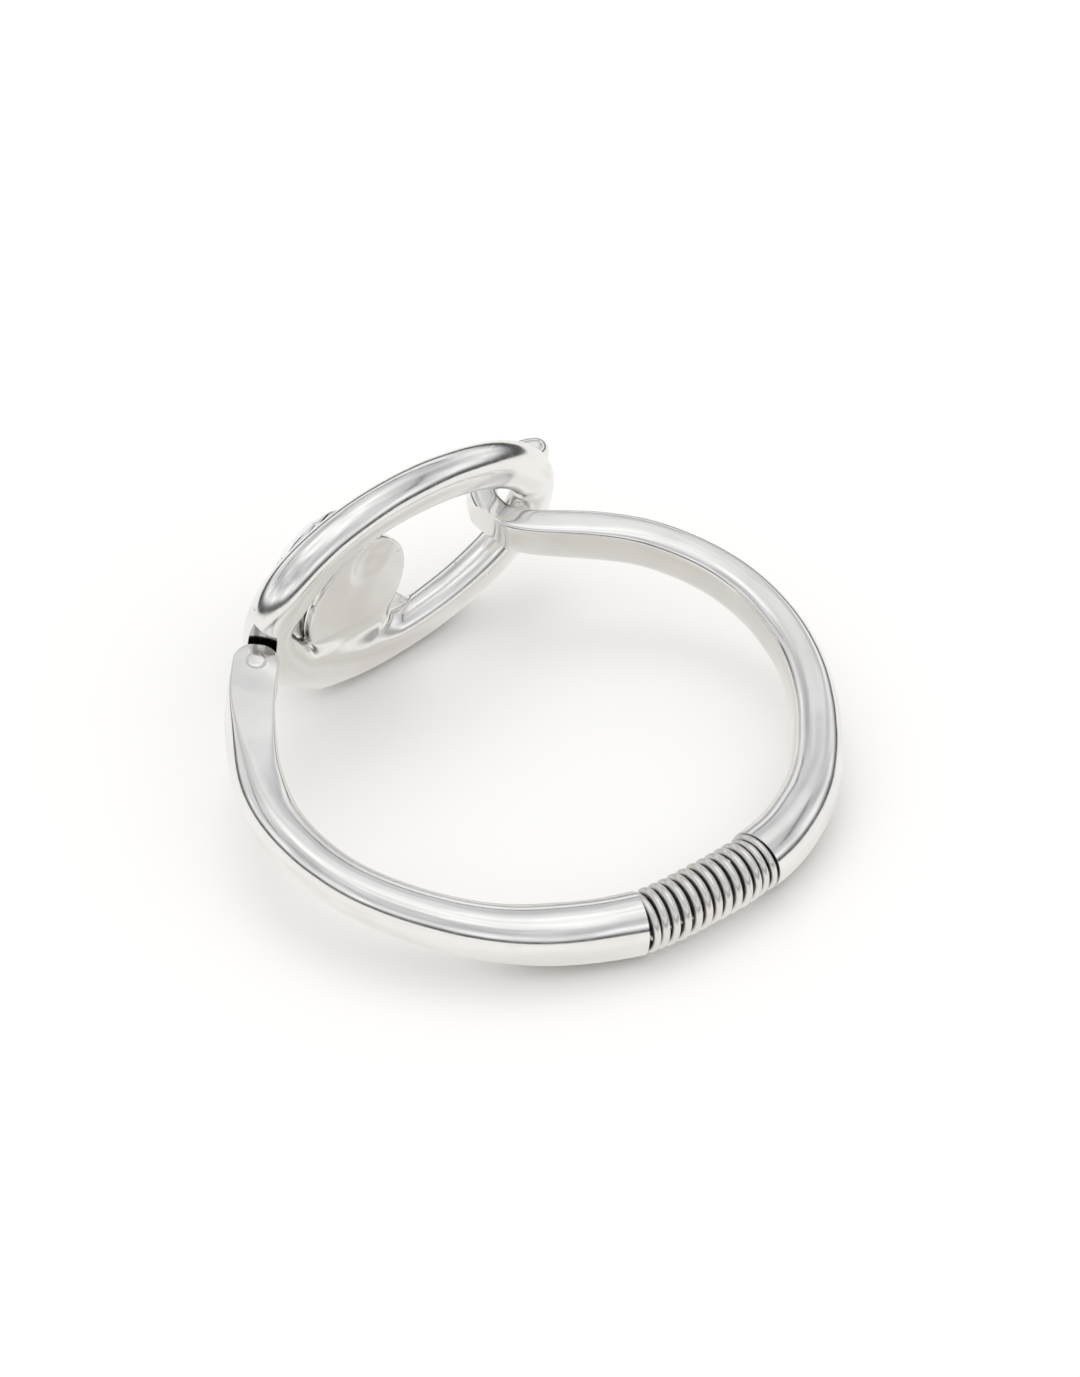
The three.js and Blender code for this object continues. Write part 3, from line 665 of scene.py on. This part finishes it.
def link_blank():
    """ring, plate and web as one skin, in millimetres"""
    n_, m2 = 360, 40
    t = np.linspace(0, 2 * math.pi, n_, endpoint=False)
    P_, inp, th, hw, hh = link_axes(t)
    a = np.linspace(0, 2 * math.pi, m2, endpoint=False)
    rg = P_[:, None] + inp[:, None] * (np.cos(a)[None, :, None] * hw[:, None, None]) + th[:, None] * (np.sin(a)[None, :, None] * hh[:, None, None])
    v_, f_ = tube(rg, closed=True)
    v_ = v_.tolist(); f_ = list(f_)
    o_ = len(v_)
    a = np.linspace(0, 2 * math.pi, 120, endpoint=False)
    for h_ in (1.05, 2.15):
        v_ += [(SU + 7.3 * math.cos(x), h_, SZ + 7.3 * math.sin(x)) for x in a]
    f_ += [tuple(range(o_, o_ + 120)), tuple(range(o_ + 120, o_ + 240))[::-1]] + [(o_ + i, o_ + 120 + i, o_ + 120 + (i + 1) % 120, o_ + (i + 1) % 120) for i in range(120)]
    o_ = len(v_)
    v_ += [(x_, 1.75 + 0.4 * j, z_) for x_, z_ in ((12, -9.4), (12, -3.8), (27.8, -9.4), (23.6, -3.8)) for j in (-1, 1)]
    f_ += [tuple(o_ + i for i in q_) for q_ in [(0, 1, 3, 2), (4, 6, 7, 5), (0, 4, 5, 1), (2, 3, 7, 6), (0, 2, 6, 4), (1, 5, 7, 3)]]
    ob = make_object("blank", v_, f_, smooth=False)
    mod = ob.modifiers.new("r", "REMESH"); mod.mode = "VOXEL"; mod.voxel_size = 0.17
    dg = bpy.context.evaluated_depsgraph_get()
    me = bpy.data.meshes.new_from_object(ob.evaluated_get(dg))
    co = np.zeros(len(me.vertices) * 3); me.vertices.foreach_get("co", co)
    fs_ = [tuple(p_.vertices) for p_ in me.polygons]
    bpy.data.objects.remove(ob); bpy.data.meshes.remove(me)
    return co.reshape(-1, 3), fs_


v, f = link_blank()
v = project(v, 4)
# even out the skin a little, then draw it back on to the form
ed = np.array([(p_[i], p_[(i + 1) % len(p_)]) for p_ in f for i in range(len(p_))])
deg = np.bincount(ed[:, 0], minlength=len(v)) + np.bincount(ed[:, 1], minlength=len(v))
for _ in range(4):
    acc = np.zeros_like(v)
    for k in range(3):
        acc[:, k] = np.bincount(ed[:, 0], v[ed[:, 1], k], len(v)) + np.bincount(ed[:, 1], v[ed[:, 0], k], len(v))
    v = v * 0.4 + acc / deg[:, None] * 0.6
v = project(v, 2)
link = make_object("link_cast", row(link_to_band(v)), f, angle=0)
# tongue
a = np.linspace(0, 2 * math.pi, 96, endpoint=False)
plan = [(2.33 * math.cos(x), 2.33 * math.sin(x)) for x in a]
n = len(plan)
fs = [tuple(range(n))[::-1], tuple(range(n, 2 * n))] + [(i, (i + 1) % n, n + (i + 1) % n, n + i) for i in range(n)]
disc = make_object("tongue", row(link_to_band(np.array([(x, y, -0.92) for x, y in plan] + [(x, y, 0.92) for x, y in plan]))), fs, smooth=False)
c5, s5 = math.cos(0.5), math.sin(0.5)
plan = [(2.2 + x * c5 - y * s5, 1.15 + x * s5 + y * c5) for x, y in ((-2.58, -1.78), (2.58, -1.78), (2.58, 1.78), (-2.58, 1.78))]
neck = make_object("neck", row(link_to_band(np.array([(x, y, -0.915) for x, y in plan] + [(x, y, 0.915) for x, y in plan]))),
                   [(3, 2, 1, 0), (4, 5, 6, 7)] + [(i, (i + 1) % 4, 4 + (i + 1) % 4, 4 + i) for i in range(4)], smooth=False)
a = np.linspace(0, 2 * math.pi, 96, endpoint=False)
floor_ = np.stack([3.2 * np.cos(a), 3.2 * np.sin(a), np.full(96, 0.93)], 1)
roof = np.stack([3.2 * np.cos(a), 3.2 * np.sin(a), 4.35 + 0.40 * 3.2 * np.sin(a) - 0.12 * 3.2 * np.cos(a)], 1)
v, f = tube(np.array([floor_, roof]))
boolean(link, make_object("cut", row(link_to_band(v.reshape(-1, 3))), f, smooth=False))
boolean(link, post_obj(PIN, 2.98, -4.34, -0.93))
boolean(link, disc, "UNION")
boolean(link, neck, "UNION")
boolean(link, post_obj(PIN, 1.24, -3, 3))
link.data.shade_smooth()
link.data.set_sharp_from_angle(angle=math.radians(40))
dress(link, SILVER_LINK, "link", "polished_silver", "link_frame")

# -------------------------------------------------------------- round setting
place = lambda p: row(link_to_band(np.array([SU, 0.0, SZ]) + np.array(p)))
cup = round_profile([(0, 2.5), (6.65, 2.5), (7.2, 2.8), (7.70, 5.9), (7.74, 6.3), (7.66, 6.58), (7.22, 6.58), (6.25, 4.45), (3.0, 3.4), (0, 3.4)], 0.25)
v, f = lathe(cup, 160, place)
setting = make_object("setting_cup", v, f, angle=50)
a = np.linspace(0, 2 * math.pi, 360, endpoint=False)
P_, inp, th, hw, hh = link_axes(a)
b_ = np.linspace(0, 2 * math.pi, 40, endpoint=False)
rg = P_[:, None] + inp[:, None] * (np.cos(b_)[None, :, None] * (hw[:, None, None] + 0.2)) + th[:, None] * (np.sin(b_)[None, :, None] * (hh[:, None, None] + 0.2))
v, f = tube(rg, closed=True)
boolean(setting, make_object("cut", row(link_to_band(v)), f, smooth=False))
setting.data.shade_smooth()
setting.data.set_sharp_from_angle(angle=math.radians(45))
dress(setting, SILVER, "link", "polished_silver", "medallion_setting")


# stone: brilliant-like cut with star, main and girdle facets
def stone_mesh():
    rt, rg_ = 5.0, 7.6
    verts, faces = [], []
    def ringv(r, h, n_, off):
        i0 = len(verts)
        for j in range(n_):
            q = 2 * math.pi * (j + off) / n_
            verts.append((r * math.cos(q), h, r * math.sin(q)))
        return i0
    tb = ringv(rt, 9.28, 8, 0)
    st = ringv(6.5, 8.3, 8, 0.5)
    g1 = ringv(rg_, 7.32, 16, 0.5)
    g0 = ringv(rg_, 6.95, 16, 0.5)
    pm = ringv(3.9, 5.2, 8, 0.5)
    cu_ = len(verts); verts.append((0, 3.72, 0))
    faces.append(tuple(tb + j for j in range(8)))
    for j in range(8):
        k = (j + 1) % 8
        ga, gb, gc = g1 + (2 * j) % 16, g1 + (2 * j + 1) % 16, g1 + (2 * j + 2) % 16
        faces.append((tb + j, st + j, tb + k))
        faces.append((st + j, ga, gb))
        faces.append((tb + k, st + j, gb)); faces.append((tb + k, gb, gc)); faces.append((tb + k, gc, st + k))
        faces.append((pm + j, g0 + (2 * j + 1) % 16, g0 + (2 * j) % 16))
        faces.append((pm + j, g0 + (2 * j + 2) % 16, g0 + (2 * j + 1) % 16)); faces.append((pm + j, pm + k, g0 + (2 * j + 2) % 16))
        faces.append((cu_, pm + k, pm + j))
    for j in range(16):
        k = (j + 1) % 16
        faces.append((g1 + j, g0 + j, g0 + k, g1 + k))
    return verts, faces


v, f = stone_mesh()
stone = make_object("cut_stone", place(v), f, smooth=False)
dress(stone, CRYSTAL, "link", "clear_crystal", "front_crystal")

# ------------------------------------------------------------------------ pin
pin_prof = round_profile([(0, -3.02), (0.9, -2.98), (1.15, -2.82), (1.15, 2.82), (0.9, 2.98), (0, 3.02)], 0.12)
v, f = lathe(pin_prof, 96, lambda p: row(PIN + np.array(p)[:, [0, 2, 1]]))
pin = make_object("hinge_rivet", v, f, angle=0)
dress(pin, PIN_MAT, "hinge_side", "pin_silver", "hinge_pin")

# ----------------------------------------------------------------------- coil
coil_axis, coil_len = catmull([[8.12, 27.39], [4.1, 27.87], [0.2, 28.0], [-3.75, 28.05], [-7.82, 27.75]], 4000)
ca_s = np.linspace(0, 1, len(coil_axis))
dA = np.gradient(coil_axis, axis=0)


def axis_frame(s):
    p = np.stack([np.interp(s, ca_s, coil_axis[:, k]) for k in range(3)], -1)
    t_ = np.stack([np.interp(s, ca_s, dA[:, k]) for k in range(3)], -1)
    t_ /= np.linalg.norm(t_, axis=-1)[..., None]
    sd = np.cross(t_, [0, 0, 1.0]); sd /= np.linalg.norm(sd, axis=-1)[..., None]
    return p, t_, sd


TURNS, WR, OR = 10.7, 0.505, 3.355
steps = int(TURNS * 72)
q = np.linspace(0, 1, steps)
mg = (WR + 0.62) / coil_len
# closer turns at both ends, most of all against the hook arm
pitch = 1 - 0.16 * np.exp(-(q / 0.07) ** 2) - 0.26 * np.exp(-((1 - q) / 0.13) ** 2)
cum = np.r_[0, np.cumsum((pitch[1:] + pitch[:-1]) / 2)]; cum /= cum[-1]
s = mg + cum * (1 - 2 * mg)
P, T, SD = axis_frame(s)
ang = q * TURNS * 2 * math.pi - math.pi / 2
rad = OR - WR
path = P + SD * (np.cos(ang) * rad)[:, None] + np.array([0, 0, 1.0]) * (np.sin(ang) * rad)[:, None]
tg = np.gradient(path, axis=0); tg /= np.linalg.norm(tg, axis=1)[:, None]
outw = path - P; outw -= tg * (outw * tg).sum(1)[:, None]; outw /= np.linalg.norm(outw, axis=1)[:, None]
bi = np.cross(tg, outw)
sides = 20
aa = np.linspace(0, 2 * math.pi, sides, endpoint=False)
rr, crest, gap_tint = [], [], []
for i in range(steps):
    taper = min(1.0, 0.35 + 0.65 * min(i, steps - 1 - i) / 14.0)
    w = WR * taper * (1 + 0.02 * math.sin(i * 0.13)) * (1 - 0.16 * math.exp(-((1 - q[i]) / 0.12) ** 2))
    rr.append(path[i] + np.outer(np.cos(aa) * w, outw[i]) + np.outer(np.sin(aa) * w, bi[i]))
    # crest: 1 on the wire's outer side, 0 on its inner side; the coil material paints shade from it
    crest += list(0.5 + 0.5 * np.cos(aa))
    # gap_tint: copper-brown on the wire's sides, strongest on the middle turns
    g = max(0.0, 1 - abs(q[i] - 0.47) / 0.16)
    gap_tint += list(g * 0.55 * np.clip(1 - np.abs(0.5 + 0.5 * np.cos(aa) - 0.45) / 0.3, 0, 1))
v, f = tube(np.array(rr))
v = v.tolist(); f = list(f)
# a closed turn sits hard against each arm
for s_e, w_e in ((0.40 / coil_len, 0.44), (1 - 0.36 / coil_len, 0.40)):
    Pe, Te, Se = axis_frame(np.array([s_e]))
    o_ = len(v)
    for i in range(120):
        an = 2 * math.pi * i / 120
        out_ = Se[0] * math.cos(an) + np.array([0, 0, 1.0]) * math.sin(an)
        for x in aa:
            v.append((Pe[0] + out_ * (OR - 0.03 - w_e + math.cos(x) * w_e) + Te[0] * math.sin(x) * w_e).tolist())
            crest.append(0.5 + 0.5 * math.cos(x)); gap_tint.append(0.0)
    f += [(o_ + i * sides + j, o_ + i * sides + (j + 1) % sides, o_ + (i + 1) % 120 * sides + (j + 1) % sides, o_ + (i + 1) % 120 * sides + j)
          for i in range(120) for j in range(sides)]
coil = make_object("coil_wire", row(v), f, angle=0)
for nm, val in (("crest", crest), ("gap_tint", gap_tint)):
    at = coil.data.attributes.new(nm, "FLOAT", "POINT")
    at.data.foreach_set("value", np.array(val, np.float32))
coil.data.materials.clear(); coil.data.materials.append(COIL_MAT)
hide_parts("coil_spring")
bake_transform(coil)

# -------------------------------------------------------- core cable, ferrules
cp = [np.r_[np.array([8.2, 27.33]) + hb * 5.6, 0], [8.2, 27.33, 0], [0.2, 28.0, 0], [-7.9, 27.72, 0], np.r_[np.array([-7.9, 27.72]) + kb * 5.6, 0]]
core_c, core_len = catmull(cp, 400)
dcc = np.gradient(core_c, axis=0); dcc /= np.linalg.norm(dcc, axis=1)[:, None]
sdc = np.cross(dcc, [0, 0, 1.0]); sdc /= np.linalg.norm(sdc, axis=1)[:, None]
a = np.linspace(0, 2 * math.pi, 72, endpoint=False)
cr = []
for i in range(len(core_c)):
    tw = i / len(core_c) * core_len / 9.0 * 2 * math.pi
    r = 1.28 + 0.15 * np.abs(np.cos(3.5 * (a + tw)))
    cr.append(core_c[i] + np.outer(r * np.cos(a), sdc[i]) + np.outer(r * np.sin(a), [0, 0, 1.0]))
v, f = tube(np.array(cr))
core = make_object("core_strands", row(v), f, angle=0)
core.data.materials.append(CABLE)
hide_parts("spring_core")
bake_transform(core)

fer = round_profile([(1.6, 0), (2.22, 0), (2.25, 1.2), (2.08, 1.9), (2.08, 3.1), (2.25, 3.8), (2.22, 5.2), (1.6, 5.2), (1.6, 0)], 0.12)
for nm, p0, d, body, node in (("ferrule_hinge", [8.2, 27.33], hb, "hinge_side", "hinge_side_ferrule"), ("ferrule_hook", [-7.9, 27.72], kb, "hook_side", "hook_side_ferrule")):
    d3 = np.array([d[0], d[1], 0]); s3 = np.cross(d3, [0, 0, 1.0]); o3 = np.array([p0[0], p0[1], 0])
    pl = lambda p: row(o3 + np.outer(np.array(p)[:, 1] + 0.35, d3) + np.outer(np.array(p)[:, 0], s3) + np.outer(np.array(p)[:, 2], [0, 0, 1.0]))
    v, f = lathe(fer, 64, pl)
    ob = make_object(nm, v, f, angle=40)
    bm = bmesh.new(); bm.from_mesh(ob.data); bmesh.ops.remove_doubles(bm, verts=bm.verts, dist=1e-7); bmesh.ops.recalc_face_normals(bm, faces=bm.faces); bm.to_mesh(ob.data); bm.free()
    dress(ob, BRASS, body, "ferrule_brass", node)

# ------------------------------------------------------------------ the studio
def plane(name, center, normal, w, h, mat, upv=(0, 0, 1)):
    n_ = np.array(normal, float); n_ /= np.linalg.norm(n_)
    r_ = np.cross(upv, n_); r_ /= np.linalg.norm(r_); u_ = np.cross(n_, r_)
    c_ = np.array(center, float)
    vs = [c_ - r_ * w / 2 - u_ * h / 2, c_ + r_ * w / 2 - u_ * h / 2, c_ + r_ * w / 2 + u_ * h / 2, c_ - r_ * w / 2 + u_ * h / 2]
    ob = make_object(name, vs, [(0, 1, 2, 3)], smooth=False)
    ob.data.materials.append(mat)
    return ob


fm, fnt, fb = new_mat("floor_white")
fb.inputs["Base Color"].default_value = (0.94, 0.936, 0.926, 1)
fb.inputs["Roughness"].default_value = 0.9
fb.inputs["Specular IOR Level"].default_value = 0.1
floor = plane("floor", (0, 0, 0), (0, 0, 1), 1.1, 1.1, fm, upv=(0, 1, 0))
floor.visible_glossy = False
# painted reflection of the table, on a sheet only the polished metal sees: warm and dim inside the bangle as painted
# shade, pale outside, ending at the table's edge
gm, gnt, gb = new_mat("table_reflection_painted_shade")
tcg = gnt.nodes.new("ShaderNodeTexCoord"); lg = gnt.nodes.new("ShaderNodeVectorMath"); lg.operation = "LENGTH"
gnt.links.new(tcg.outputs["Object"], lg.inputs[0])
gr_ = gnt.nodes.new("ShaderNodeMapRange"); gr_.interpolation_type = "SMOOTHSTEP"
gr_.inputs["From Min"].default_value, gr_.inputs["From Max"].default_value = 0.010, 0.044
gnt.links.new(lg.outputs["Value"], gr_.inputs["Value"])
gx = gnt.nodes.new("ShaderNodeMix"); gx.data_type = "RGBA"
gx.inputs[6].default_value = (0.645, 0.622, 0.60, 1); gx.inputs[7].default_value = (0.93, 0.925, 0.915, 1)
gn_ = gnt.nodes.new("ShaderNodeTexNoise"); gn_.inputs["Scale"].default_value = 55; gn_.inputs["Detail"].default_value = 2
gnt.links.new(tcg.outputs["Object"], gn_.inputs["Vector"])
gm_ = gnt.nodes.new("ShaderNodeMapRange")
gm_.inputs["From Min"].default_value, gm_.inputs["From Max"].default_value = 0.35, 0.65
gm_.inputs["To Min"].default_value, gm_.inputs["To Max"].default_value = -0.25, 0.25
gnt.links.new(gn_.outputs["Fac"], gm_.inputs["Value"])
ga_ = gnt.nodes.new("ShaderNodeMath"); ga_.operation = "ADD"; ga_.use_clamp = True
gnt.links.new(gr_.outputs["Result"], ga_.inputs[0]); gnt.links.new(gm_.outputs["Result"], ga_.inputs[1])
gnt.links.new(ga_.outputs[0], gx.inputs[0]); gnt.links.new(gx.outputs[2], gb.inputs["Base Color"])
gb.inputs["Roughness"].default_value = 1.0
gb.inputs["Specular IOR Level"].default_value = 0.0
seen = plane("table_seen", (0, 0, -0.00005), (0, 0, 1), 1.1, 1.1, gm, upv=(0, 1, 0))
seen.visible_camera = seen.visible_diffuse = seen.visible_shadow = seen.visible_transmission = False
verts_o = [(-3, -3, 0), (3, -3, 0), (3, 3, 0), (-3, 3, 0), (-.55, -.55, 0), (.55, -.55, 0), (.55, .55, 0), (-.55, .55, 0)]
far = make_object("floor_far", verts_o, [(0, 1, 5, 4), (1, 2, 6, 5), (2, 3, 7, 6), (3, 0, 4, 7)], smooth=False)
far.data.materials.append(fm)
far.visible_glossy = False

cm, cnt, cb = new_mat("card_grey")
cb.inputs["Base Color"].default_value = (0.03, 0.03, 0.032, 1)
cb.inputs["Roughness"].default_value = 1.0


def card(name, azd, eld, d, w, h, roll=0.0):
    a_, e_ = math.radians(azd), math.radians(eld)
    n_ = np.array([math.sin(a_) * math.cos(e_), -math.cos(a_) * math.cos(e_), math.sin(e_)])
    r_ = np.cross([0, 0, 1.0], n_); r_ /= np.linalg.norm(r_); u_ = np.cross(n_, r_)
    q = math.radians(roll)
    ob = plane(name, n_ * d + np.array([0, 0, 0.01]), -n_, w, h, cm, upv=tuple(u_ * math.cos(q) + r_ * math.sin(q)))
    ob.visible_camera = False
    ob.visible_diffuse = False
    ob.visible_shadow = False
    return ob


card("card_a", 322, 33, 0.6, 0.40, 0.035)
card("card_b", 40, 40, 0.6, 0.30, 0.03, 20)
card("card_c", 250, 42, 0.6, 0.30, 0.03, -20)


def area(name, azd, eld, d, size, power, sy=None, col=(1, 1, 1)):
    a_, e_ = math.radians(azd), math.radians(eld)
    n_ = Vector((math.sin(a_) * math.cos(e_), -math.cos(a_) * math.cos(e_), math.sin(e_)))
    li = bpy.data.lights.new(name, "AREA")
    li.shape = "RECTANGLE"; li.size = size; li.size_y = sy or size
    li.energy = power; li.color = col
    ob = bpy.data.objects.new(name, li)
    bpy.context.scene.collection.objects.link(ob)
    ob.location = n_ * d
    ob.rotation_euler = n_.to_track_quat("Z", "Y").to_euler()
    ob.visible_camera = False
    return ob


key = area("key", 330, 62, 1.1, 0.55, 1.1)
key.visible_glossy = False

w = bpy.data.worlds.new("studio")
w.use_nodes = True
wn, wl = w.node_tree.nodes, w.node_tree.links
bg = wn["Background"]
tcw = wn.new("ShaderNodeTexCoord"); sep = wn.new("ShaderNodeSeparateXYZ")
wl.new(tcw.outputs["Generated"], sep.inputs[0])
rampw = wn.new("ShaderNodeMapRange"); rampw.inputs["From Min"].default_value = -0.2; rampw.inputs["From Max"].default_value = 1.0
wl.new(sep.outputs[2], rampw.inputs["Value"])
cr_ = wn.new("ShaderNodeValToRGB")
el_ = cr_.color_ramp.elements
zs = [(-0.2, 0.08), (0.07, 0.08), (0.15, 0.22), (0.21, 0.60), (0.30, 1.02), (0.42, 0.95), (0.54, 0.72), (0.72, 0.64),
      (0.84, 0.82), (0.92, 1.04), (1.0, 1.0)]
el_[0].position, el_[0].color = 0.0, (0.08, 0.08, 0.08, 1)
el_[1].position, el_[1].color = 1.0, (1.0, 1.0, 1.0, 1)
for z_, v_ in zs[1:-1]:
    k_ = el_.new((z_ + 0.2) / 1.2)
    k_.color = (v_, v_, v_ * 1.012, 1) if v_ < 0.8 else (v_, v_ * 0.998, v_ * 0.992, 1)
wl.new(rampw.outputs[0], cr_.inputs[0])
# soft, uneven room tone, so long reflections are never perfectly even
nz = wn.new("ShaderNodeTexNoise"); nz.inputs["Scale"].default_value = 3.4; nz.inputs["Detail"].default_value = 2.5
wl.new(tcw.outputs["Generated"], nz.inputs["Vector"])
nr = wn.new("ShaderNodeMapRange")
nr.inputs["From Min"].default_value, nr.inputs["From Max"].default_value = 0.32, 0.68
nr.inputs["To Min"].default_value, nr.inputs["To Max"].default_value = 0.66, 1.10
wl.new(nz.outputs["Fac"], nr.inputs["Value"])
sc_ = wn.new("ShaderNodeVectorMath"); sc_.operation = "SCALE"
wl.new(cr_.outputs[0], sc_.inputs[0]); wl.new(nr.outputs[0], sc_.inputs["Scale"])
lp = wn.new("ShaderNodeLightPath")
mxd = wn.new("ShaderNodeMix"); mxd.data_type = "RGBA"
mxd.inputs[6].default_value = (1.045, 1.04, 1.03, 1)
wl.new(lp.outputs["Is Glossy Ray"], mxd.inputs[0]); wl.new(sc_.outputs[0], mxd.inputs[7])
mxw = wn.new("ShaderNodeMix"); mxw.data_type = "RGBA"
mxw.inputs[7].default_value = (0.975, 0.972, 0.962, 1)
wl.new(lp.outputs["Is Camera Ray"], mxw.inputs[0]); wl.new(mxd.outputs[2], mxw.inputs[6])
wl.new(mxw.outputs[2], bg.inputs["Color"])
bg.inputs["Strength"].default_value = 1.0
bpy.context.scene.world = w
bpy.context.scene.view_settings.view_transform = "Standard"
bpy.context.scene.view_settings.look = "None"
